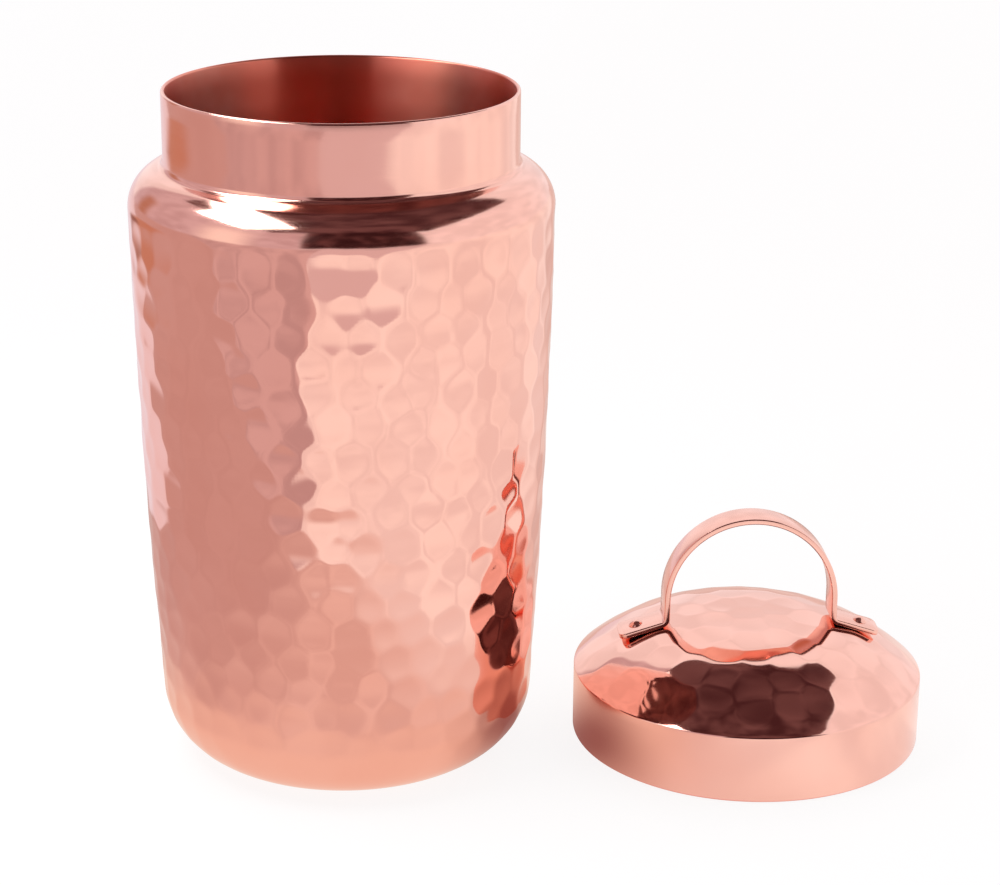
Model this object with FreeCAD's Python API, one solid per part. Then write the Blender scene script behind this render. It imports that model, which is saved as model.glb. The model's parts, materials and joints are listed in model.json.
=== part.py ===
import FreeCAD, Part
import math
import os
from FreeCAD import Vector

# Hammered copper tea caddy: a raised canister with a smooth neck, and a lift-off lid whose strap
# loop is held by two rivets.  Millimetres, +Z up.  The origin is on the table, under the middle
# of the canister.  The lid lies on the same table, beside the canister, along +X.

# Driving dimensions: canister
CANISTER_HEIGHT = 164.0
CANISTER_SHEET = 1.0
SHOULDER_RADIUS = 50.0        # the widest place
SHOULDER_LEVEL = 136.8        # where the shoulder starts to turn in
SHOULDER_ROUND = 9.7          # radius of the shoulder's rounding
MIDDLE_RADIUS = 48.1
MIDDLE_LEVEL = 66.0
CORNER_RADIUS = 45.4          # canister radius where the bottom corner starts
CORNER_ROUND = 17.0           # radius of the bottom corner's rounding
CORNER_LEAN = math.radians(3.7)   # the wall's lean off the vertical at the bottom corner
NECK_RADIUS = 41.6
NECK_FILLET = 1.8

# Driving dimensions: lid
LID_GAP = 6.7                 # between the canister's widest place and the lid
LID_SHEET = 1.3
LID_CLEARANCE = 0.5           # radial, between the neck and the skirt's inside
SKIRT_HEIGHT = 16.8
DOME_RISE = 14.0
DOME_POWER = 2.8              # 2 is a parabola; more is flatter in the middle
LIP_ROUND = 0.3
CREASE_ROUND = 0.6

# Driving dimensions: handle, rivets and burrs
STRAP_WIDTH = 8.4
STRAP_SHEET = 1.4
LOOP_HALF_WIDTH = 21.6        # to the outside of a leg
LOOP_TOP = 57.3
FOOT_SLOPE = math.radians(17.5)
FOOT_END = 32.4               # from the lid's axis to a foot's tip
FOOT_CORNER = 2.0
BEND_ROUND = 1.0              # inside radius of the bend between a leg and its foot
FOOT_LIFT = 0.05              # between a foot and the dome where they come closest
RIVET_PLACE = 28.3            # from the lid's axis
RIVET_HOLE = 1.3
SHANK_RADIUS = 1.25
HEAD_RADIUS = 1.8
HEAD_HEIGHT = 1.1
TAIL_RADIUS = 1.7
TAIL_HEIGHT = 0.7
BURR_RADIUS = 3.0
BURR_THICK = 0.8
BURR_SLACK = 0.7              # a flat burr needs room under the curved dome
SEAT_GAP = 0.02               # under a rivet's head and over its tail

# Worked out
LID_RADIUS = NECK_RADIUS + LID_CLEARANCE + LID_SHEET
LID_PLACE = SHOULDER_RADIUS + LID_GAP + LID_RADIUS
AXIS = Vector(0, 0, 1)


def arc(centre_x, centre_z, radius, start, end):
    """Arc in the XZ plane about a centre, between two angles from +X towards +Z."""
    def at(angle):
        return Vector(centre_x + radius * math.cos(angle), 0, centre_z + radius * math.sin(angle))
    return Part.Arc(at(start), at((start + end) / 2), at(end)).toShape()


def line(start, end):
    return Part.LineSegment(start, end).toShape()


def ends(edge):
    """First and last point of an edge, in the direction it was drawn."""
    return edge.valueAt(edge.FirstParameter), edge.valueAt(edge.LastParameter)


def canister_side(inset):
    """The canister's profile from its axis out and up to the lip, moved inwards by inset."""
    corner_centre = CORNER_RADIUS - CORNER_ROUND * math.cos(CORNER_LEAN)
    corner = arc(corner_centre, CORNER_ROUND, CORNER_ROUND - inset, -math.pi / 2, -CORNER_LEAN)

    shoulder_centre = SHOULDER_RADIUS - SHOULDER_ROUND
    fillet_centre_x = NECK_RADIUS + NECK_FILLET
    across = fillet_centre_x - shoulder_centre
    up = math.sqrt((SHOULDER_ROUND + NECK_FILLET) ** 2 - across ** 2)
    meeting = math.atan2(up, across)
    shoulder = arc(shoulder_centre, SHOULDER_LEVEL, SHOULDER_ROUND - inset, 0, meeting)
    fillet = arc(fillet_centre_x, SHOULDER_LEVEL + up, NECK_FILLET + inset,
                 meeting + math.pi, math.pi)

    middle = Vector(MIDDLE_RADIUS - inset, 0, MIDDLE_LEVEL)
    wall = Part.Arc(ends(corner)[1], middle, ends(shoulder)[0]).toShape()
    floor = line(Vector(0, 0, inset), ends(corner)[0])
    neck = line(ends(fillet)[1], Vector(NECK_RADIUS - inset, 0, CANISTER_HEIGHT))
    return [floor, corner, wall, shoulder, fillet, neck]


def revolved(edges):
    """Solid of revolution about Z from a closed run of edges in the XZ plane."""
    wire = Part.Wire(Part.__sortEdges__(edges))
    return Part.Face(wire).revolve(Vector(0, 0, 0), AXIS, 360)


def circles_at(shape, level):
    """Round edges of a turned shape that lie flat at a level."""
    found = []
    for edge in shape.Edges:
        box = edge.BoundBox
        if box.ZLength < 1e-6 and abs(box.ZMin - level) < 1e-6 and box.XLength > 1:
            found.append(edge)
    return found


def make_canister():
    outside = canister_side(0)
    inside = canister_side(CANISTER_SHEET)
    lip = line(ends(outside[-1])[1], ends(inside[-1])[1])
    foot = line(Vector(0, 0, 0), Vector(0, 0, CANISTER_SHEET))
    body = revolved(outside + [lip] + inside + [foot])
    return body.makeFillet(LIP_ROUND, circles_at(body, CANISTER_HEIGHT))


def dome_slope(radius):
    """How steeply the dome falls at a radius."""
    return DOME_RISE * DOME_POWER / LID_RADIUS * (radius / LID_RADIUS) ** (DOME_POWER - 1)


def dome_height(radius, depth=0.0):
    """Height of the dome's surface at a radius, or of the surface a depth inside the sheet."""
    outer = SKIRT_HEIGHT + DOME_RISE * (1 - (radius / LID_RADIUS) ** DOME_POWER)
    return outer - depth * math.hypot(1, dome_slope(radius))


def dome_curve(rim, depth):
    """Smooth curve over the dome from the axis to a rim radius."""
    steps = 10
    places = [rim * step / steps for step in range(steps + 1)]
    curve = Part.BSplineCurve()
    curve.interpolate([Vector(place, 0, dome_height(place, depth)) for place in places])
    return curve.toShape()


def make_lid():
    bore = LID_RADIUS - LID_SHEET
    outer_dome = dome_curve(LID_RADIUS, 0)
    inner_dome = dome_curve(bore, LID_SHEET)
    crown = line(ends(inner_dome)[0], ends(outer_dome)[0])
    outer_skirt = line(ends(outer_dome)[1], Vector(LID_RADIUS, 0, 0))
    inner_skirt = line(ends(inner_dome)[1], Vector(bore, 0, 0))
    edge = line(Vector(bore, 0, 0), Vector(LID_RADIUS, 0, 0))
    cap = revolved([crown, outer_dome, outer_skirt, edge, inner_skirt, inner_dome])
    cap = cap.makeFillet(LIP_ROUND, circles_at(cap, 0))
    cap = cap.makeFillet(CREASE_ROUND, circles_at(cap, SKIRT_HEIGHT))
    for side in (-1, 1):
        cap = cap.cut(rivet_drill(side, RIVET_HOLE))
    return cap


def foot_line(place):
    """Height of a foot's underside at a place along X: a line that just clears the dome."""
    steepness = math.tan(FOOT_SLOPE) * LID_RADIUS / (DOME_RISE * DOME_POWER)
    closest = LID_RADIUS * steepness ** (1 / (DOME_POWER - 1))
    return dome_height(closest) + FOOT_LIFT - (place - closest) * math.tan(FOOT_SLOPE)


def strap_side(offset):
    """Right half of one face of the strap, from the loop's top to the foot's tip."""
    loop_level = LOOP_TOP - LOOP_HALF_WIDTH
    bend_x = LOOP_HALF_WIDTH + BEND_ROUND
    bend_z = foot_line(bend_x) + (BEND_ROUND + STRAP_SHEET) / math.cos(FOOT_SLOPE)
    bend = arc(bend_x, bend_z, BEND_ROUND + offset, math.pi, 1.5 * math.pi - FOOT_SLOPE)
    loop = arc(0, loop_level, LOOP_HALF_WIDTH - offset, math.pi / 2, 0)
    leg = line(ends(loop)[1], ends(bend)[0])
    start = ends(bend)[1]
    along = Vector(math.cos(FOOT_SLOPE), 0, -math.sin(FOOT_SLOPE))
    square = Vector(math.sin(FOOT_SLOPE), 0, math.cos(FOOT_SLOPE))
    tip = Vector(FOOT_END, 0, foot_line(FOOT_END)) + square * (STRAP_SHEET - offset)
    foot = line(start, start + along * (tip - start).dot(along))
    return [loop, leg, bend, foot]


def make_handle():
    outer = strap_side(0)
    inner = strap_side(STRAP_SHEET)
    top = line(ends(outer[0])[0], ends(inner[0])[0])
    tip = line(ends(outer[-1])[1], ends(inner[-1])[1])
    wire = Part.Wire(Part.__sortEdges__(outer + [tip] + inner + [top]))
    half = Part.Face(wire).extrude(Vector(0, STRAP_WIDTH, 0))
    half.translate(Vector(0, -STRAP_WIDTH / 2, 0))
    tip_edges = [edge for edge in half.Edges if is_tip_corner(edge)]
    half = half.makeFillet(FOOT_CORNER, tip_edges)
    for_left = half.mirror(Vector(0, 0, 0), Vector(1, 0, 0))
    strap = half.fuse(for_left).removeSplitter()
    for side in (-1, 1):
        strap = strap.cut(rivet_drill(side, RIVET_HOLE))
    return strap


def is_tip_corner(edge):
    """True for the two short edges across the sheet at a foot's tip."""
    box = edge.BoundBox
    at_tip = box.XMin > FOOT_END - STRAP_SHEET and abs(edge.Length - STRAP_SHEET) < 1e-4
    return at_tip and box.YLength < 1e-6


def on_foot(shape, side):
    """Move a shape drawn about Z, with Z=0 on the foot's top face, to its rivet's place."""
    placed = shape.copy()
    tilt = math.degrees(FOOT_SLOPE) * side
    placed.rotate(Vector(0, 0, 0), Vector(0, 1, 0), tilt)
    top = foot_line(RIVET_PLACE) + STRAP_SHEET / math.cos(FOOT_SLOPE)
    placed.translate(Vector(side * RIVET_PLACE, 0, top))
    return placed


def rivet_drill(side, radius):
    """Drill through the foot and the dome on a rivet's axis."""
    reach = STRAP_SHEET + 3 * LID_SHEET
    drill = Part.makeCylinder(radius, 2 * reach, Vector(0, 0, -reach), AXIS)
    return on_foot(drill, side)


def burr_depth():
    """From the foot's top face down the rivet's axis to the top of the burr."""
    return STRAP_SHEET + LID_SHEET + BURR_SLACK


def cap_of_sphere(radius, height):
    """Round rivet head: a spherical cap on Z=0."""
    ball = (radius ** 2 + height ** 2) / (2 * height)
    sphere = Part.makeSphere(ball, Vector(0, 0, height - ball))
    return sphere.common(Part.makeCylinder(radius + 1, height + 1))


def make_rivet(side):
    length = burr_depth() + BURR_THICK + SEAT_GAP
    head = cap_of_sphere(HEAD_RADIUS, HEAD_HEIGHT)
    head.translate(Vector(0, 0, SEAT_GAP))
    shank = Part.makeCylinder(SHANK_RADIUS, length + SEAT_GAP, Vector(0, 0, -length), AXIS)
    tail = cap_of_sphere(TAIL_RADIUS, TAIL_HEIGHT)
    tail.rotate(Vector(0, 0, 0), Vector(1, 0, 0), 180)
    tail.translate(Vector(0, 0, -length))
    rivet = head.fuse(shank).fuse(tail).removeSplitter()
    return on_foot(rivet, side)


def make_burr(side):
    depth = burr_depth()
    disc = Part.makeCylinder(BURR_RADIUS, BURR_THICK, Vector(0, 0, -depth - BURR_THICK), AXIS)
    hole = Part.makeCylinder(RIVET_HOLE, 3 * BURR_THICK, Vector(0, 0, -depth - 2 * BURR_THICK), AXIS)
    return on_foot(disc.cut(hole), side)


def save(name, shape, place=0.0):
    """Write one node, moved along X to its place at rest."""
    shape.translate(Vector(place, 0, 0))
    shape.exportStep("parts/" + name + ".step")
    print(name, "valid", shape.isValid(), "volume", round(shape.Volume, 1))


os.makedirs("parts", exist_ok=True)
save("canister", make_canister())
save("lid", make_lid(), LID_PLACE)
save("handle", make_handle(), LID_PLACE)
for side, word in ((-1, "left"), (1, "right")):
    save("rivet_" + word, make_rivet(side), LID_PLACE)
    save("burr_" + word, make_burr(side), LID_PLACE)
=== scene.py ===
# %% [markdown]
# # A hammered copper tea caddy
# The caddy is two pieces of raised copper: a tall canister with a smooth neck, and a lid that
# slips over the neck.  A bent copper strap, riveted to the lid, is the handle.  The imported CAD
# model is loaded first, as a fixed frame: the main sizes and places below are worked out from it,
# and the rest are given as numbers.
# Blender works in metres, so lengths in millimetres are multiplied by MM.

# %% Load the frame
import json
import math
import bmesh
import bpy
import numpy as np
from mathutils import Matrix, Vector


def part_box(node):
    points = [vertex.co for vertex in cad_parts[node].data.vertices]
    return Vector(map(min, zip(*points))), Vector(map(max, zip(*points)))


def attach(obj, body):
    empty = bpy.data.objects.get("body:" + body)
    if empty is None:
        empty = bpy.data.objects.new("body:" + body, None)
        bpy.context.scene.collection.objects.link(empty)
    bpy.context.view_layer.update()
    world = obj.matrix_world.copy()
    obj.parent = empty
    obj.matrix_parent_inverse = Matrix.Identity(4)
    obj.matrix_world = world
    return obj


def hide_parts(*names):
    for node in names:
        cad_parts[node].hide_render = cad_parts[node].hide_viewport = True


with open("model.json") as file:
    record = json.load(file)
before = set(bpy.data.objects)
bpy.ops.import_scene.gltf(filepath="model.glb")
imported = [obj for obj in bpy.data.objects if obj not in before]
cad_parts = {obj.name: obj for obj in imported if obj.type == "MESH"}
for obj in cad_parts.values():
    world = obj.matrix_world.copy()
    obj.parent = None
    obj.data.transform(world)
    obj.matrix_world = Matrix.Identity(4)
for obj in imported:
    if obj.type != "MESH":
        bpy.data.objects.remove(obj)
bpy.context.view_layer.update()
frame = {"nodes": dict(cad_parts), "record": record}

MM = 0.001
mounts = {mount["name"]: mount for mount in frame["record"]["mounts"]}
canister_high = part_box("canister")[1]
lid_low, lid_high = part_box("lid")
handle_low, handle_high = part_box("handle")
print("nodes:", sorted(frame["nodes"]))

# %% [markdown]
# The canister's outline is a chain of arcs that touch each other smoothly: a bottom corner, a
# very flat arc for the long wall, a shoulder, a small hollow fillet, and then the straight neck.
# The neck's radius comes from the record's mount, and the widest radius and the height from the
# CAD node's own box.

# %% Sizes of the canister
WIDEST = canister_high.x
TALL = canister_high.z
NECK = mounts["neck"]["dims"]["r_mm"] * MM
SHEET = 1.0 * MM
CORNER_ROUND = 17.0 * MM
CORNER_LEAN = math.radians(3.7)
CORNER_EDGE = 45.4 * MM
MIDDLE = Vector((48.1 * MM, 0, 66.0 * MM))
SHOULDER_ROUND = 9.7 * MM
SHOULDER_LEVEL = 136.8 * MM
NECK_FILLET = 1.8 * MM
shoulder_centre = Vector((WIDEST - SHOULDER_ROUND, 0, SHOULDER_LEVEL))
fillet_across = NECK + NECK_FILLET - shoulder_centre.x
fillet_up = math.sqrt((SHOULDER_ROUND + NECK_FILLET) ** 2 - fillet_across ** 2)
fillet_centre = shoulder_centre + Vector((fillet_across, 0, fillet_up))
shoulder_turn = math.atan2(fillet_up, fillet_across)
corner_centre = Vector((CORNER_EDGE - CORNER_ROUND * math.cos(CORNER_LEAN), 0, CORNER_ROUND))
print("widest", round(WIDEST / MM, 2), "neck", round(NECK / MM, 2), "tall", round(TALL / MM, 2))

# %% [markdown]
# The long wall is an arc through three points: the top of the bottom corner, the middle, and the
# start of the shoulder.  Its centre lies where the perpendicular bisectors of the two chords
# meet, more than two metres away beyond the canister's far side, so the wall looks nearly
# straight and still swells a little.

# %% The long wall's arc
wall_foot = corner_centre + CORNER_ROUND * Vector((math.cos(CORNER_LEAN), 0, -math.sin(CORNER_LEAN)))
wall_head = shoulder_centre + Vector((SHOULDER_ROUND, 0, 0))


def circle_centre(first, second, third):
    """Centre of the circle through three points of the XZ plane."""
    rows = [[2 * (p.x - first.x), 2 * (p.z - first.z)] for p in (second, third)]
    sides = [p.length_squared - first.length_squared for p in (second, third)]
    x, z = np.linalg.solve(rows, sides)
    return Vector((x, 0, z))


wall_centre = circle_centre(wall_foot, MIDDLE, wall_head)
wall_radius = (wall_head - wall_centre).length
wall_start = math.atan2(wall_foot.z - wall_centre.z, wall_foot.x - wall_centre.x)
wall_end = math.atan2(wall_head.z - wall_centre.z, wall_head.x - wall_centre.x)


def wall_at(height):
    """The canister's outside radius at a height on the long wall."""
    return wall_centre.x + math.sqrt(wall_radius ** 2 - (height - wall_centre.z) ** 2)


print("wall arc radius", round(wall_radius, 3), "m")

# %% [markdown]
# The lid is a skirt with a crisp crease and a low dome.  A power a little above 2 makes the dome
# flatter in the middle and steeper at the rim than a parabola, as a raised lid is.

# %% Sizes of the lid
lid_middle = Vector(((lid_low.x + lid_high.x) / 2, 0, 0))
LID = (lid_high.x - lid_low.x) / 2
LID_BORE = mounts["lid_bore"]["dims"]["r_mm"] * MM
LID_SHEET = LID - LID_BORE
SKIRT = 16.8 * MM
DOME_RISE = lid_high.z - SKIRT
DOME_POWER = 2.8
CREASE_ROUND = 0.6 * MM
print("lid radius", round(LID / MM, 2), "sheet", round(LID_SHEET / MM, 2))


def dome_slope(radius):
    """Tangent of the dome's slope at a distance from the lid's axis."""
    return DOME_RISE * DOME_POWER / LID * (radius / LID) ** (DOME_POWER - 1)


def dome_height(radius, depth=0.0):
    """Height of the dome, or of the surface that lies a depth inside its sheet."""
    outside = SKIRT + DOME_RISE * (1 - (radius / LID) ** DOME_POWER)
    return outside - depth * math.hypot(1, dome_slope(radius))


# %% [markdown]
# ## Turned shapes
# A raised vessel is round about its axis, so it is drawn as half an outline and spun.  The
# outline is drawn the way a hand would do it: one vertex is extruded along straight runs, and
# spun about a centre for each arc.  Edit mode keeps only the newest vertex selected, so each
# step carries on from the last.

# %% A profile drawn with one vertex
class Profile:
    """An outline in the XZ plane, drawn by moving its newest vertex."""

    def __init__(self, name, start):
        bpy.ops.object.select_all(action="DESELECT")
        bpy.ops.mesh.primitive_plane_add(size=0.01)
        self.piece = bpy.context.object
        self.piece.name = name
        self.piece.data.name = name
        bpy.ops.object.mode_set(mode="EDIT")
        bpy.ops.mesh.select_all(action="SELECT")
        bpy.ops.mesh.merge(type="CENTER")
        bpy.ops.transform.translate(value=start)
        self.at = start.copy()

    def run(self, end, steps=1):
        """Extrude the newest vertex along a straight run."""
        step = (end - self.at) / steps
        for _ in range(steps):
            bpy.ops.mesh.extrude_vertices_move(TRANSFORM_OT_translate={"value": step})
        self.at = end.copy()

    def turn(self, centre, angle, steps):
        """Spin the newest vertex about a centre: from +X towards +Z when the angle is positive."""
        bpy.ops.mesh.spin(steps=steps, angle=angle, center=centre, axis=(0, 1, 0))
        turned = Matrix.Rotation(angle, 3, Vector((0, -1, 0)))
        self.at = centre + turned @ (self.at - centre)

    def spin_up(self, middle, steps):
        """Spin the whole outline round an upright axis, and close its seam and poles."""
        bpy.ops.mesh.select_all(action="SELECT")
        bpy.ops.mesh.spin(steps=steps, angle=2 * math.pi, center=middle, axis=(0, 0, 1))
        bpy.ops.mesh.select_all(action="SELECT")
        bpy.ops.mesh.remove_doubles(threshold=1e-6)
        bpy.ops.mesh.normals_make_consistent(inside=False)
        bpy.ops.object.mode_set(mode="OBJECT")
        bpy.ops.object.shade_smooth()
        return self.piece


def report(piece):
    """Print how large a piece's mesh is, and whether it is closed."""
    mesh = bmesh.new()
    mesh.from_mesh(piece.data)
    triangles = sum(len(face.verts) - 2 for face in mesh.faces)
    open_edges = sum(1 for edge in mesh.edges if not edge.is_manifold)
    volume = mesh.calc_volume(signed=True)
    mesh.free()
    print(piece.name, triangles, "triangles,", open_edges, "open edges,",
          round(volume * 1e6, 2), "cm3")


# %% [markdown]
# The canister's outline goes out along the base, up the outside, over the lip, and down the
# inside.  The hammered wall needs small faces, under a millimetre, because every hammer mark is
# real geometry.  The smooth inside takes longer steps.

# %% The canister, smooth
AROUND = 390
WALL_STEPS = 168


def draw_canister():
    pen = Profile("canister_body", Vector((0, 0, 0)))
    pen.run(corner_centre - Vector((0, 0, CORNER_ROUND)), 3)
    pen.turn(corner_centre, math.pi / 2 - CORNER_LEAN, 24)
    pen.turn(wall_centre, wall_end - wall_start, WALL_STEPS)
    pen.turn(shoulder_centre, shoulder_turn, 14)
    pen.turn(fillet_centre, -shoulder_turn, 5)
    lip_centre = Vector((NECK - SHEET / 2, 0, TALL - SHEET / 2))
    pen.run(lip_centre + Vector((SHEET / 2, 0, 0)), 4)
    pen.turn(lip_centre, math.pi, 6)
    pen.run(Vector((NECK - SHEET, 0, fillet_centre.z)), 3)
    pen.turn(fillet_centre, shoulder_turn, 3)
    pen.turn(shoulder_centre, -shoulder_turn, 5)
    pen.turn(wall_centre, wall_start - wall_end, 10)
    pen.turn(corner_centre, CORNER_LEAN - math.pi / 2, 7)
    pen.run(Vector((0, 0, SHEET)), 2)
    return pen.spin_up(Vector((0, 0, 0)), AROUND)


canister = draw_canister()
report(canister)

# %% [markdown]
# ## Hammer marks
# A raised vessel is planished: the smith works round it in rows, and each blow of the polished
# hammer leaves a shallow dish.  Where two dishes meet there is a low ridge.  A bump map would
# only tilt the light, and the outline would stay smooth, so each blow is cut into the mesh: a
# vertex sinks to the deepest dish at its place.  A dish is a parabola about its centre.  It runs
# out flatter below its middle than above, and leans a little, so that each row overlaps the one
# above it like scales.  The ridges are rounded off slightly, as polishing leaves them.

# %% Blows and their dishes
class Blows:
    """Hammer blows: where they land, how deep they go, how hollow they are and how they lean.

    Each blow has a way up.  Below its middle the dish is shallower by the factor trailing, so
    its foot runs out flat and the next row's round top edge cuts into it.
    """

    def __init__(self, centres, ups, depth, hollow, trailing, lean, seed):
        chance = np.random.default_rng(seed)
        self.centres = np.array(centres)
        self.ups = np.array(ups)
        count = len(self.centres)
        self.depths = depth * chance.uniform(0.7, 1.3, count)
        self.hollows = hollow * chance.uniform(0.85, 1.15, count)
        self.flatter = 1 - trailing ** 2
        self.leans = chance.normal(0, 0.012, (count, 3)) - lean * self.ups

    def levels(self, points):
        """The two deepest dishes' levels at each point, the deepest first."""
        apart = points[:, None, :] - self.centres[None, :, :]
        below = np.minimum((apart * self.ups[None, :, :]).sum(2), 0)
        levels = self.hollows * ((apart ** 2).sum(2) - self.flatter * below ** 2) - self.depths
        levels += (apart * self.leans[None, :, :]).sum(2)
        return np.partition(levels, 1, axis=1)[:, :2].T


def softly_lowest(first, second, softness):
    """The lower of two levels, with the corner between them rounded off."""
    close = np.maximum(softness - np.abs(first - second), 0) / softness
    return np.minimum(first, second) - close ** 2 * softness / 4


def hammer(piece, blows, chosen_band, softness):
    """Sink the vertices of a band of a piece under its blows."""
    mesh = piece.data
    points = np.zeros(len(mesh.vertices) * 3)
    normals = np.zeros(len(mesh.vertices) * 3)
    mesh.vertices.foreach_get("co", points)
    mesh.vertices.foreach_get("normal", normals)
    points, normals = points.reshape(-1, 3), normals.reshape(-1, 3)
    share = chosen_band(points, normals)
    chosen = np.nonzero(share > 0)[0]
    for part in np.array_split(chosen, max(1, len(chosen) // 2500)):
        first, second = blows.levels(points[part])
        level = softly_lowest(softly_lowest(first, second, softness), 0, softness)
        points[part] += normals[part] * (level * share[part])[:, None]
    mesh.vertices.foreach_set("co", points.ravel())
    mesh.update()
    print(piece.name, len(blows.centres), "blows on", len(chosen), "vertices")


# %% [markdown]
# On the canister the rows run level, from just under the shoulder to the bottom corner, with
# each row half a step round from the last.  A smith's rows are never perfect, so every blow
# lands a little off its place.

# %% Hammer the canister
ROW_STEP = 7.15 * MM
MARK_STEP = 8.3 * MM
TOP_ROW = 132.2 * MM
BOTTOM_ROW = 7.0 * MM


def outline_at(height):
    """Radius and outward lean of the outside at a height below the shoulder."""
    if height >= wall_foot.z:
        return wall_at(height)
    drop = corner_centre.z - height
    return corner_centre.x + math.sqrt(CORNER_ROUND ** 2 - drop ** 2)


def canister_blows():
    chance = np.random.default_rng(11)
    centres = []
    rows = round((TOP_ROW - BOTTOM_ROW) / ROW_STEP)
    for row in range(rows + 1):
        height = TOP_ROW - row * ROW_STEP
        count = round(2 * math.pi * outline_at(height) / MARK_STEP)
        for mark in range(count):
            turn = (mark + row / 2 + chance.normal(0, 0.13)) / count * 2 * math.pi
            level = height + chance.normal(0, 0.85 * MM)
            radius = outline_at(level)
            centres.append((radius * math.cos(turn), radius * math.sin(turn), level))
    ups = [(0, 0, 1)] * len(centres)
    return Blows(centres, ups, depth=0.25 * MM, hollow=13.5, trailing=0.85, lean=0.004, seed=23)


def canister_band(points, normals):
    """1 on the outside wall, fading out under the shoulder and round the bottom corner."""
    outside = (points[:, :2] * normals[:, :2]).sum(1) > 0
    height = points[:, 2]
    under_shoulder = np.clip((138.5 * MM - height) / (2 * MM), 0, 1)
    above_base = np.clip((height - 2 * MM) / (12 * MM), 0, 1)
    return outside * under_shoulder * above_base


hammer(canister, canister_blows(), canister_band, softness=0.15 * MM)
report(canister)

# %% [markdown]
# ## The lid
# The lid is drawn the same way, from the inside of the dome, down the skirt, round its edge, up
# the outside, over the crease and back along the dome.  The crease is a very small arc that
# meets the steep rim of the dome.

# %% The lid, smooth
LID_AROUND = 380


def draw_lid():
    pen = Profile("lid_cap", lid_middle + Vector((0, 0, dome_height(0, LID_SHEET))))
    steps = 16
    for step in range(1, steps + 1):
        radius = LID_BORE * step / steps
        pen.run(lid_middle + Vector((radius, 0, dome_height(radius, LID_SHEET))))
    edge_centre = lid_middle + Vector((LID - LID_SHEET / 2, 0, LID_SHEET / 2))
    pen.run(edge_centre - Vector((LID_SHEET / 2, 0, 0)), 5)
    pen.turn(edge_centre, math.pi, 8)
    rim_slope = math.atan(dome_slope(LID))
    lift = CREASE_ROUND * (math.tan(rim_slope) - 1 / math.cos(rim_slope))
    crease_centre = lid_middle + Vector((LID - CREASE_ROUND, 0, SKIRT + lift))
    pen.run(crease_centre + Vector((CREASE_ROUND, 0, 0)), 8)
    pen.turn(crease_centre, math.pi / 2 - rim_slope, 4)
    start = pen.at.x - lid_middle.x
    steps = 58
    for step in range(1, steps + 1):
        radius = start * (1 - step / steps)
        pen.run(lid_middle + Vector((radius, 0, dome_height(radius))))
    return pen.spin_up(lid_middle, LID_AROUND)


lid = draw_lid()
report(lid)

# %% [markdown]
# The dome is planished in rings about its middle, with broader, flatter marks than the
# canister's.  The outermost ring stops short of the crease, so that the crease stays a clean
# line.

# %% Hammer the dome
RING_STEP = 7.4 * MM
RINGS = 6
RING_MARK_STEP = 8.2 * MM


def dome_blows():
    chance = np.random.default_rng(5)
    centres = []
    for ring in range(RINGS):
        count = max(1, round(2 * math.pi * ring * RING_STEP / RING_MARK_STEP))
        for mark in range(count):
            turn = (mark + ring / 2 + chance.normal(0, 0.07)) / count * 2 * math.pi
            radius = ring * RING_STEP + chance.normal(0, 0.4 * MM)
            across = (radius * math.cos(turn), radius * math.sin(turn))
            centres.append((lid_middle.x + across[0], across[1], dome_height(abs(radius))))
    ups = [(0, 0, 0)] * len(centres)
    return Blows(centres, ups, depth=0.12 * MM, hollow=6.0, trailing=1.0, lean=0, seed=9)


def dome_band(points, normals):
    """1 on the dome, fading out before the crease."""
    radius = np.hypot(points[:, 0] - lid_middle.x, points[:, 1])
    top = (normals[:, 2] > 0.3) & (points[:, 2] > SKIRT)
    return top * np.clip((LID - 0.8 * MM - radius) / (2 * MM), 0, 1)


hammer(lid, dome_blows(), dome_band, softness=0.05 * MM)
report(lid)

# %% [markdown]
# ## The handle
# The handle is a strip of sheet, bent in a vice: a foot, a bend, a leg, the round loop, and the
# same again.  It is drawn as a flat ribbon.  One edge across the strap is extruded along the
# straight runs and spun about the bends, and Solidify then gives the ribbon its thickness.

# %% Sizes of the strap
STRAP_WIDE = handle_high.y - handle_low.y
STRAP = 1.4 * MM
LOOP_OUT = 21.6 * MM
FOOT_SLOPE = math.radians(17.5)
FOOT_END = 32.4 * MM
BEND_ROUND = 1.0 * MM
FOOT_LIFT = 0.05 * MM
loop_centre = lid_middle + Vector((0, 0, handle_high.z - LOOP_OUT))
steepness = math.tan(FOOT_SLOPE) * LID / (DOME_RISE * DOME_POWER)
touch = LID * steepness ** (1 / (DOME_POWER - 1))


def foot_under(place):
    """Height of the feet's underside at a distance from the lid's axis."""
    return dome_height(touch) + FOOT_LIFT - (place - touch) * math.tan(FOOT_SLOPE)


print("strap", round(STRAP_WIDE / MM, 2), "wide, loop top at", round(handle_high.z / MM, 2))

# %% [markdown]
# The feet lie on the dome where its slope is the same as theirs, and each bend is an arc that
# leads from the foot's slope to the upright leg.  The ribbon starts as one edge across the strap,
# left over from a plane whose other two corners are deleted, and the same two steps as before,
# a straight run and a spin, carry it from the left foot's tip to the right one's.

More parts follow.
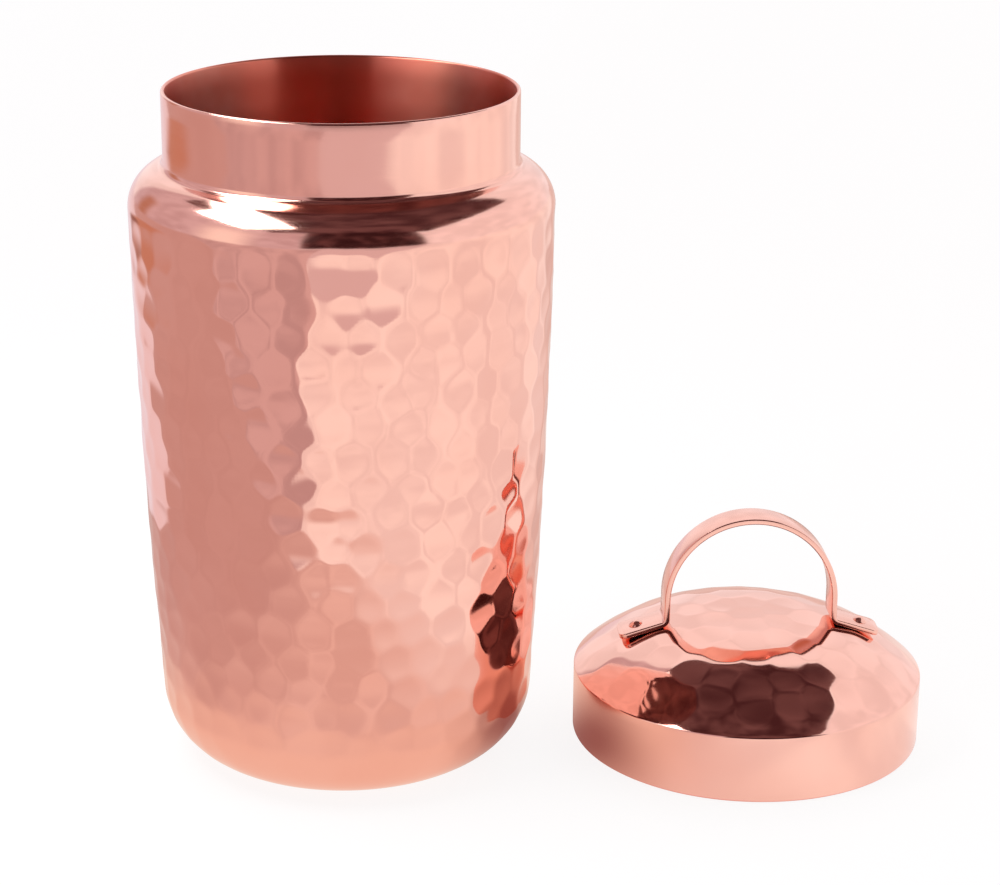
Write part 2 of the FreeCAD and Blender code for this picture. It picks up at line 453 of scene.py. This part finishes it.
# %% The handle's ribbon
def draw_handle():
    """Middle surface of the strap from the left foot's tip to the right foot's."""
    middle = STRAP / 2
    bend_x = LOOP_OUT + BEND_ROUND
    bend_z = foot_under(bend_x) + (BEND_ROUND + STRAP) / math.cos(FOOT_SLOPE)
    left_bend = lid_middle + Vector((-bend_x, 0, bend_z))
    right_bend = lid_middle + Vector((bend_x, 0, bend_z))
    square = Vector((-math.sin(FOOT_SLOPE), 0, math.cos(FOOT_SLOPE)))
    tip = lid_middle + Vector((-FOOT_END, 0, foot_under(FOOT_END))) + square * middle
    heel = left_bend - square * (BEND_ROUND + middle)
    bend_turn = math.pi / 2 - FOOT_SLOPE

    bpy.ops.object.select_all(action="DESELECT")
    bpy.ops.mesh.primitive_plane_add(size=STRAP_WIDE)
    strap = bpy.context.object
    strap.name = strap.data.name = "handle_strap"
    bpy.ops.object.mode_set(mode="EDIT")
    bpy.ops.mesh.select_all(action="DESELECT")
    mesh = bmesh.from_edit_mesh(strap.data)
    for vertex in mesh.verts:
        vertex.select = vertex.co.x > 0
    mesh.select_flush(True)
    bmesh.update_edit_mesh(strap.data)
    bpy.ops.mesh.delete(type="VERT")
    bpy.ops.mesh.select_all(action="SELECT")
    bpy.ops.transform.translate(value=tip + Vector((STRAP_WIDE / 2, 0, 0)))

    def run(start, end, steps):
        step = (end - start) / steps
        for _ in range(steps):
            bpy.ops.mesh.extrude_region_move(TRANSFORM_OT_translate={"value": step})

    def turn(centre, angle, steps):
        bpy.ops.mesh.spin(steps=steps, angle=angle, center=centre, axis=(0, 1, 0))

    leg_foot = left_bend + Vector((BEND_ROUND + middle, 0, 0))
    leg_head = Vector((leg_foot.x, 0, loop_centre.z))
    run(tip, heel, 6)
    turn(left_bend, bend_turn, 8)
    run(leg_foot, leg_head, 3)
    turn(loop_centre, -math.pi, 56)
    leg_right = right_bend - Vector((BEND_ROUND + middle, 0, 0))
    run(Vector((leg_right.x, 0, loop_centre.z)), leg_right, 3)
    turn(right_bend, bend_turn, 8)
    right_heel = Vector((2 * lid_middle.x - heel.x, 0, heel.z))
    right_tip = Vector((2 * lid_middle.x - tip.x, 0, tip.z))
    run(right_heel, right_tip, 6)
    return strap


handle = draw_handle()
print("ribbon:", len(bmesh.from_edit_mesh(handle.data).faces), "faces from tip to tip")

# %% [markdown]
# The feet's corners are rounded while the ribbon is still flat, by bevelling the four corner
# vertices.  Solidify then adds the sheet's thickness evenly on both sides, and a narrow Bevel
# rounds the sawn edges, which is what makes a real edge catch the light.

# %% The handle's thickness and edges
FOOT_CORNER = 2 * MM
SAWN_EDGE = 0.28 * MM


def finish_handle(strap):
    mesh = bmesh.from_edit_mesh(strap.data)
    for vertex in mesh.verts:
        vertex.select = len(vertex.link_edges) == 2
    mesh.select_flush(True)
    bmesh.update_edit_mesh(strap.data)
    bpy.ops.mesh.bevel(offset=FOOT_CORNER, offset_type="OFFSET", segments=6, affect="VERTICES")
    bpy.ops.mesh.select_all(action="SELECT")
    bpy.ops.mesh.remove_doubles(threshold=1e-6)
    bpy.ops.mesh.normals_make_consistent(inside=False)
    bpy.ops.object.mode_set(mode="OBJECT")
    thick = strap.modifiers.new("sheet", "SOLIDIFY")
    thick.thickness = STRAP
    thick.offset = 0
    thick.use_even_offset = True
    rounding = strap.modifiers.new("sawn edges", "BEVEL")
    rounding.width = SAWN_EDGE
    rounding.segments = 3
    rounding.limit_method = "ANGLE"
    rounding.angle_limit = math.radians(40)
    bpy.context.view_layer.objects.active = strap
    for modifier in (thick.name, rounding.name):
        bpy.ops.object.modifier_apply(modifier=modifier)
    bpy.ops.object.shade_smooth_by_angle(angle=math.radians(35))


finish_handle(handle)
report(handle)

# %% [markdown]
# ## Shader sums
# Node trees are easier to read as sums.  A Socket wraps one output of a node, and the ordinary
# operators add Math nodes.  Every other node comes from Tree.add, which sets the node's settings
# first and then its sockets.

# %% Sockets and trees
class Socket:
    """A number in a node tree, which can be used in ordinary sums."""

    def __init__(self, tree, link):
        self.tree = tree
        self.link = link

    def sum(self, operation, first, second):
        return self.tree.add("ShaderNodeMath", {"operation": operation}, {0: first, 1: second})

    def __add__(self, other):
        return self.sum("ADD", self, other)

    def __radd__(self, other):
        return self.sum("ADD", other, self)

    def __sub__(self, other):
        return self.sum("SUBTRACT", self, other)

    def __rsub__(self, other):
        return self.sum("SUBTRACT", other, self)

    def __mul__(self, other):
        return self.sum("MULTIPLY", self, other)

    def __rmul__(self, other):
        return self.sum("MULTIPLY", other, self)


class Tree:
    """The node tree of a material or of the world."""

    def __init__(self, owner):
        owner.use_nodes = True
        self.nodes = owner.node_tree.nodes
        self.links = owner.node_tree.links
        self.nodes.clear()

    def add(self, kind, settings=None, sockets=None, out=0):
        node = self.nodes.new(kind)
        for name, value in (settings or {}).items():
            setattr(node, name, value)
        for name, value in (sockets or {}).items():
            if isinstance(value, Socket):
                self.links.new(value.link, node.inputs[name])
            else:
                node.inputs[name].default_value = value
        return Socket(self, node.outputs[out]) if len(node.outputs) else node

    def between(self, value, low, high):
        """0 below low, 1 above high, and smooth between them."""
        settings = {"interpolation_type": "SMOOTHSTEP"}
        sockets = {"Value": value, "From Min": low, "From Max": high}
        return self.add("ShaderNodeMapRange", settings, sockets)

    def mix(self, amount, first, second):
        """Mix two colours."""
        settings = {"data_type": "RGBA"}
        return self.add("ShaderNodeMix", settings, {0: amount, 6: first, 7: second}, out=2)

    def noise(self, place, stretch, detail=3.0):
        """Cloudy noise, with its own number of waves per metre along X, Y and Z."""
        scaled = self.add("ShaderNodeMapping", {}, {"Vector": place, "Scale": stretch})
        return self.add("ShaderNodeTexNoise", {}, {"Vector": scaled, "Scale": 1.0,
                                                   "Detail": detail})


# %% [markdown]
# ## Copper
# Copper is a metal, so its colour is the colour of its reflections, and almost everything on it
# is something else mirrored.  The finish is what differs from place to place: hammered faces are
# burnished by the hammer, the neck, shoulder and skirt are polished on a wheel that leaves fine
# level lines, and the inside is left satin.  The inside's copper is also painted darker and
# redder, a painted shade for the dimness and the many bounces inside the neck and the lid.
# One function makes all of them.  Satin brushing is far finer than a face of the mesh, so the
# inside's smeared reflections come from the shader's own anisotropy, and not from bump lines
# that would flicker.

# %% The copper finish
COPPER = (0.98, 0.565, 0.475, 1)
DEEP_COPPER = (0.95, 0.515, 0.42, 1)
# The inside's copper colour below is darker and redder than the rest: painted shade for the inside
# of the neck and the lid.
INSIDE_COPPER_PAINTED_SHADE = (0.80, 0.25, 0.18, 1)


def copper(name, rough, haze, lines, line_depth, upright=3200.0, sideways=26.0, level=None,
           tint=COPPER, stretch=0.0):
    """Polished copper: clouded colour and roughness, and fine wheel lines.

    lines is how rough the wheel lines look, and line_depth is how deep they are, in metres.
    With a level, the lines start above that height only, and the metal below is burnished.
    stretch smears reflections up and down, across the lines, as satin brushing does.
    """
    material = bpy.data.materials.new(name)
    tree = Tree(material)
    place = tree.add("ShaderNodeTexCoord", out="Object")
    clouds = tree.noise(place, (38, 38, 38))
    specks = tree.noise(place, (420, 420, 420))
    wheel = tree.noise(place, (sideways, sideways, upright), detail=2.0)
    brushed = 1.0
    if level is not None:
        height = tree.add("ShaderNodeSeparateXYZ", {}, {0: place}, out="Z")
        brushed = tree.between(height, level - 4 * MM, level + 4 * MM)
    colour = tree.mix(tree.between(clouds, 0.35, 0.7) * 0.5, tint, DEEP_COPPER)
    roughness = rough + haze * clouds + 0.02 * specks + lines * wheel * brushed
    wave = wheel * brushed + 0.12 * specks
    bump = tree.add("ShaderNodeBump", {}, {"Height": wave, "Distance": line_depth, "Strength": 1.0})
    shader = tree.add("ShaderNodeBsdfPrincipled", {}, {
        "Base Color": colour, "Metallic": 1.0, "Roughness": roughness, "Normal": bump,
        "Anisotropic": stretch, "Anisotropic Rotation": 0.25})
    tree.add("ShaderNodeOutputMaterial", {}, {"Surface": shader})
    return material


outside_copper = copper("hammered copper", rough=0.03, haze=0.05, lines=0.12, line_depth=3.5e-6,
                        level=SHOULDER_LEVEL)
# The satin inside takes the darker, redder colour, a painted shade.
inside_copper_painted_shade = copper("satin copper with painted shade", rough=0.24, haze=0.05, lines=0.04, line_depth=7e-6,
                       upright=2600.0, sideways=9.0, tint=INSIDE_COPPER_PAINTED_SHADE, stretch=0.92)
dome_copper = copper("burnished copper", rough=0.035, haze=0.05, lines=0.0, line_depth=8e-7)
skirt_copper = copper("wheel-polished copper", rough=0.10, haze=0.05, lines=0.12, line_depth=3e-6)
strap_copper = copper("strap copper", rough=0.09, haze=0.06, lines=0.05, line_depth=2e-6,
                      upright=420.0, sideways=420.0)
rivet_copper = copper("rivet copper", rough=0.14, haze=0.08, lines=0.0, line_depth=1e-6)
print("materials:", sorted(material.name for material in bpy.data.materials if material.users == 0))

# %% [markdown]
# The canister has two finishes, so its faces are sorted by where they are: a face whose outward
# direction points back to the axis, or up from the floor, is on the inside, whose finish carries
# the painted shade.  The lid's dome, skirt and inside are sorted by height and direction.

# %% Which faces get which finish
def paint(piece, materials, choose):
    """Give each face the material whose number choose returns for its centre and normal."""
    piece.data.materials.clear()
    for material in materials:
        piece.data.materials.append(material)
    for face in piece.data.polygons:
        face.material_index = choose(face.center, face.normal)
    for number, material in enumerate(materials):
        count = sum(1 for face in piece.data.polygons if face.material_index == number)
        print(piece.name, "has", count, "faces of", material.name)


def canister_finish(centre, normal):
    towards_axis = centre.x * normal.x + centre.y * normal.y < 0
    on_floor = centre.z < 12 * MM and normal.z > 0.3
    under_shoulder = centre.z > SHOULDER_LEVEL and normal.z < -0.05
    return 1 if towards_axis or on_floor or under_shoulder else 0


def lid_finish(centre, normal):
    spoke = centre - lid_middle
    towards_axis = spoke.x * normal.x + spoke.y * normal.y < -1e-6
    if normal.z < -0.3 or (towards_axis and centre.z < SKIRT):
        return 2
    return 0 if normal.z > 0.3 and centre.z > SKIRT - 0.1 * MM else 1


paint(canister, [outside_copper, inside_copper_painted_shade], canister_finish)
paint(lid, [dome_copper, skirt_copper, inside_copper_painted_shade], lid_finish)
paint(handle, [strap_copper], lambda centre, normal: 0)
for name in ("rivet_left", "rivet_right", "burr_left", "burr_right"):
    node = frame["nodes"][name]
    node.data.materials.clear()
    node.data.materials.append(rivet_copper)

# %% [markdown]
# ## Riding and replacing
# Each new piece takes its CAD node's place, and rides on its body, so the lid's pieces lift
# together.  The rivets and burrs are the CAD nodes themselves, with the copper finish.

# %% Put the pieces on their bodies
for piece, node, body, slot in (
        (canister, "canister", "canister", "canister_copper"),
        (lid, "lid", "lid", "lid_copper"),
        (handle, "handle", "lid", "handle_copper")):
    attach(piece, body)
    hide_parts(node)
    print(piece.name, "rides on", body, "and takes the place of", node)

# %% [markdown]
# ## The studio
# Polished copper shows its room.  The room is a pale tent: a white wall on the right and behind,
# a dimmer wall on the left with a glow and a warm streak in it, and a dark gap in front where the
# camera stands.  It is drawn in the world's own shader, by compass direction and elevation, so
# there are no walls to get in another camera's way.  What hangs close overhead is added later as
# real pieces.

# %% The tent
GAP_LEFT = -22
GAP_RIGHT = 44


def build_world():
    """Directions are in degrees, round from straight in front (-Y) towards +X."""
    world = bpy.data.worlds.new("tent")
    bpy.context.scene.world = world
    tree = Tree(world)
    way = tree.add("ShaderNodeTexCoord", out="Generated")
    x = tree.add("ShaderNodeSeparateXYZ", {}, {0: way}, out="X")
    y = tree.add("ShaderNodeSeparateXYZ", {}, {0: way}, out="Y")
    z = tree.add("ShaderNodeSeparateXYZ", {}, {0: way}, out="Z")
    degrees = 180 / math.pi
    round_about = tree.add("ShaderNodeMath", {"operation": "ARCTAN2"}, {0: x, 1: y * -1.0}) * degrees
    up = tree.add("ShaderNodeMath", {"operation": "ARCSINE"}, {0: z}) * degrees

    def patch(left, right, low, high, soft):
        """1 inside a patch of the tent, with soft edges, in degrees."""
        sideways = tree.between(round_about, left - soft, left + soft) * (
            1.0 - tree.between(round_about, right - soft, right + soft))
        upwards = tree.between(up, low - soft, low + soft) * (
            1.0 - tree.between(up, high - soft, high + soft))
        return sideways * upwards

    clouds = tree.between(tree.noise(way, (6, 6, 6)), 0.34, 0.66)
    streaks = tree.between(tree.noise(way, (9, 9, 3)), 0.42, 0.68)
    wall = tree.mix(clouds, (0.91, 0.87, 0.88, 1), (1.05, 1.03, 1.05, 1))
    dim_wall = tree.mix(clouds, (0.58, 0.45, 0.48, 1), (0.70, 0.58, 0.62, 1))
    gap = tree.mix(streaks, (0.035, 0.010, 0.011, 1), (0.13, 0.055, 0.055, 1))
    colour = tree.mix(patch(-150, GAP_LEFT, -95, 95, 2), wall, dim_wall)
    colour = tree.mix(patch(-80, -52, -8, 30, 10), colour, (1.05, 0.98, 0.92, 1))
    colour = tree.mix(patch(-139, -127, -14, 20, 4), colour, (0.50, 0.26, 0.18, 1))
    colour = tree.mix(patch(-50, GAP_LEFT, 42, 90, 5), colour, (0.30, 0.18, 0.19, 1))
    colour = tree.mix(patch(GAP_LEFT, GAP_RIGHT, -95, 95, 1.5), colour, (0.64, 0.55, 0.57, 1))
    colour = tree.mix(patch(GAP_LEFT, GAP_RIGHT, 3, 95, 1.5), colour, gap)
    lit = tree.add("ShaderNodeBackground", {}, {"Color": colour, "Strength": 1.0})
    plain = tree.add("ShaderNodeBackground", {}, {"Color": (1, 1, 1, 1), "Strength": 1.0})
    seen = tree.add("ShaderNodeLightPath", out="Is Camera Ray")
    both = tree.add("ShaderNodeMixShader", {}, {0: seen, 1: lit, 2: plain})
    tree.add("ShaderNodeOutputWorld", {}, {"Surface": both})
    print("world:", len(tree.nodes), "nodes")


build_world()

# %% [markdown]
# The table is a sheet of white acrylic, lit a little from below, as studios use to get rid of
# heavy shadows.  Mirrored in the copper, though, a table is never evenly white:
# it is in shade on the left and far in front, and warm close to the pieces.  That light and
# shade is painted, as a painted reflection, on a second glowing sheet just above the table,
# which only mirrored rays can see: painted shade on the left, far in front and beside the
# canister, a lighter patch of painted light in the left's shade, painted warm light round the
# canister's foot, a painted shadow of the lid between canister and lid, and painted
# reflections of a warm patch and a dark patch far behind on the left.

# %% The table
TABLE_RADIUS = 9.0
MIRRORED_LIFT = 0.3 * MM


def finish_surface(tree, shader):
    tree.add("ShaderNodeOutputMaterial", {}, {"Surface": shader})


def acrylic():
    """White acrylic with a faint cloudiness, glowing a little."""
    material = bpy.data.materials.new("white acrylic")
    tree = Tree(material)
    place = tree.add("ShaderNodeTexCoord", out="Object")
    tone = tree.mix(tree.noise(place, (3, 3, 3)), (0.84, 0.84, 0.84, 1), (0.88, 0.88, 0.88, 1))
    glow = tree.add("ShaderNodeEmission", {}, {"Color": (1, 1, 1, 1), "Strength": 1.09})
    sheet = tree.add("ShaderNodeBsdfPrincipled", {}, {"Base Color": tone, "Roughness": 0.7})
    finish_surface(tree, tree.add("ShaderNodeMixShader", {}, {0: 0.80, 1: sheet, 2: glow}))
    return material


def table_painted_light_and_shade():
    """Painted reflection of the table: the painted light and shade each part of it shows in the
    copper.
    """
    material = bpy.data.materials.new("table painted light and shade")
    tree = Tree(material)
    place = tree.add("ShaderNodeTexCoord", out="Object")
    x = tree.add("ShaderNodeSeparateXYZ", {}, {0: place}, out="X")
    y = tree.add("ShaderNodeSeparateXYZ", {}, {0: place}, out="Y")

    def below(value, edge, soft):
        return 1.0 - tree.between(value, edge - soft, edge + soft)

    def near(middle_x, middle_y, reach, soft):
        """1 in a round patch of the table."""
        middle = (middle_x, middle_y, 0)
        settings = {"operation": "DISTANCE"}
        apart = tree.add("ShaderNodeVectorMath", settings, {0: place, 1: middle}, out="Value")
        return below(apart, reach, soft)

    sunk = tree.add("ShaderNodeVectorMath", {"operation": "ADD"}, {0: place, 1: (0, 0, -0.09)})
    way = tree.add("ShaderNodeVectorMath", {"operation": "NORMALIZE"}, {0: sunk})
    clouds = tree.between(tree.noise(way, (6, 6, 6)), 0.36, 0.64)
    light = tree.mix(clouds, (0.92, 0.87, 0.86, 1), (1.06, 1.04, 1.01, 1))
    dim = tree.mix(clouds, (0.55, 0.41, 0.42, 1), (0.70, 0.54, 0.54, 1))
    # Painted shade on the table beside the canister, darker on its left and warm on its right.
    painted_shade_by_canister = tree.mix(tree.between(x, -0.14, 0.0), (0.62, 0.44, 0.42, 1), (0.87, 0.70, 0.64, 1))
    painted_shade_by_canister = tree.mix(clouds * 0.4, painted_shade_by_canister, (0.56, 0.38, 0.36, 1))
    # Masks for painted shade on the left, far in front and beside the canister, and for a lighter
    # wedge of painted light in the left's shade.
    left = below(x - 0.18 * y, -0.050, 0.006)
    front = below(y, -0.445, 0.03) * below(x + 0.9 * y, -0.25, 0.04)
    close = (1.0 - below(y, -0.185, 0.012)) * below(x - 0.5 * y, 0.11, 0.05)
    painted_light_wedge = (1.0 - below(x + 0.643 * y, -0.155, 0.012)) * (1.0 - below(y - 1.13 * x, 0.269, 0.012))
    colour = tree.mix(front, light, (0.74, 0.63, 0.65, 1))
    colour = tree.mix(left, colour, dim)
    colour = tree.mix(close, colour, painted_shade_by_canister)
    # Painted warm light on the table round the canister's foot.
    colour = tree.mix(near(0, 0, 0.075, 0.02), colour, (0.91, 0.72, 0.62, 1))
    colour = tree.mix(painted_light_wedge * left, colour, (0.88, 0.80, 0.86, 1))
    # Painted reflections of a warm patch and a dark patch far behind on the left.
    colour = tree.mix(near(-0.52, 0.40, 0.20, 0.08), colour, (0.58, 0.30, 0.21, 1))
    colour = tree.mix(near(-0.36, 0.48, 0.08, 0.05), colour, (0.34, 0.17, 0.14, 1))
    # Painted shadow of the lid on the table, in the gap between canister and lid.
    colour = tree.mix(near(0.053, -0.01, 0.022, 0.020), colour, (0.32, 0.16, 0.15, 1))
    finish_surface(tree, tree.add("ShaderNodeEmission", {}, {"Color": colour, "Strength": 1.0}))
    return material


def only_mirrored(piece):
    """Hide a stage piece from everything but mirrored rays."""
    piece.visible_camera = False
    piece.visible_diffuse = False
    piece.visible_shadow = False
    piece.visible_transmission = False


def lay_sheet(name, radius, level, material):
    bpy.ops.object.select_all(action="DESELECT")
    bpy.ops.mesh.primitive_circle_add(vertices=96, radius=radius, fill_type="NGON")
    sheet = bpy.context.object
    sheet.name = name
    bpy.ops.object.mode_set(mode="EDIT")
    bpy.ops.mesh.select_all(action="SELECT")
    bpy.ops.transform.translate(value=(0, 0, level))
    bpy.ops.object.mode_set(mode="OBJECT")
    sheet.data.materials.append(material)
    return sheet


lay_sheet("table", TABLE_RADIUS, 0, acrylic())
mirrored = lay_sheet("painted reflection of the table", TABLE_RADIUS, MIRRORED_LIFT, table_painted_light_and_shade())
only_mirrored(mirrored)
print("table laid")

# %% [markdown]
# A brown card hangs over the pieces.  It is a real plane and not part of the world, because it
# is close: the canister's shoulder and the lid see its edges at different angles.  Like the
# second table sheet, it is there for mirrored rays only.

# %% The overhead card
CARD_SIZE = (0.68, 0.58, 1)
CARD_PLACE = (0.04, -0.06, 0.45)


def card_tones():
    material = bpy.data.materials.new("brown card")
    tree = Tree(material)
    place = tree.add("ShaderNodeTexCoord", out="Object")
    clouds = tree.between(tree.noise(place, (9, 9, 9)), 0.36, 0.66)
    tone = tree.mix(clouds, (0.06, 0.02, 0.022, 1), (0.17, 0.085, 0.085, 1))
    finish_surface(tree, tree.add("ShaderNodeEmission", {}, {"Color": tone, "Strength": 1.0}))
    return material


def hang_card():
    bpy.ops.object.select_all(action="DESELECT")
    bpy.ops.mesh.primitive_plane_add(size=1.0)
    card = bpy.context.object
    card.name = "overhead card"
    bpy.ops.object.mode_set(mode="EDIT")
    bpy.ops.transform.resize(value=CARD_SIZE)
    bpy.ops.transform.translate(value=CARD_PLACE)
    bpy.ops.object.mode_set(mode="OBJECT")
    card.data.materials.append(card_tones())
    only_mirrored(card)
    print("card hangs at", CARD_PLACE[2], "m")


hang_card()

# %% [markdown]
# Two softboxes hang close, up on the left, so they shine white in the shoulder while the lid
# sees them mostly hidden behind the canister.  They are area lights, which Cycles samples far
# better than small bright patches of the world.

# %% The softboxes
def hang_softbox(name, place, wide, deep, turn, brightness):
    """An area light facing down.  Its power follows from how bright it should look."""
    data = bpy.data.lights.new(name, "AREA")
    data.shape = "RECTANGLE"
    data.size = wide
    data.size_y = deep
    data.energy = math.pi * wide * deep * brightness
    softbox = bpy.data.objects.new(name, data)
    bpy.context.collection.objects.link(softbox)
    softbox.location = place
    softbox.rotation_euler = (0, 0, math.radians(turn))
    softbox.visible_camera = False
    print(name, round(data.energy, 3), "W")


hang_softbox("softbox", place=(-0.145, -0.065, 0.30), wide=0.13, deep=0.17, turn=0, brightness=6.0)
hang_softbox("far softbox", place=(-0.085, 0.075, 0.30), wide=0.06, deep=0.15, turn=-25,
             brightness=3.5)

# %% [markdown]
# ## The camera
# The camera stands close, about 0.6 m in front of the canister and looking down at it, with a
# long lens.  Its direction is given by how far it looks down and to the right, and how far it
# leans, and the three axes are worked out from those.  Five mirrored bounces are enough for the
# inside of the neck.

# %% The camera
CAMERA_PLACE = (0, -0.5868, 0.27783)
LOOKS_DOWN = 18.886
LOOKS_RIGHT = 3.655
LEANS = 0.5
LENS = 92.07


def place_camera():
    down, right_turn, lean = (math.radians(angle) for angle in (LOOKS_DOWN, LOOKS_RIGHT, LEANS))
    ahead = Vector((math.sin(right_turn) * math.cos(down),
                    math.cos(right_turn) * math.cos(down), -math.sin(down)))
    across = Vector((math.cos(right_turn), -math.sin(right_turn), 0))
    over = across.cross(ahead)
    side = across * math.cos(lean) + over * math.sin(lean)
    top = over * math.cos(lean) - across * math.sin(lean)
    data = bpy.data.cameras.new("camera")
    data.lens = LENS
    data.sensor_width = 36.0
    data.clip_end = 50
    camera = bpy.data.objects.new("camera", data)
    bpy.context.collection.objects.link(camera)
    turned = Matrix((side, top, -ahead)).transposed().to_4x4()
    camera.matrix_world = Matrix.Translation(CAMERA_PLACE) @ turned
    bpy.context.scene.camera = camera
    print("camera at", [round(value, 3) for value in camera.location])


place_camera()
bpy.context.scene.view_settings.view_transform = "Standard"
bpy.context.scene.cycles.glossy_bounces = 5
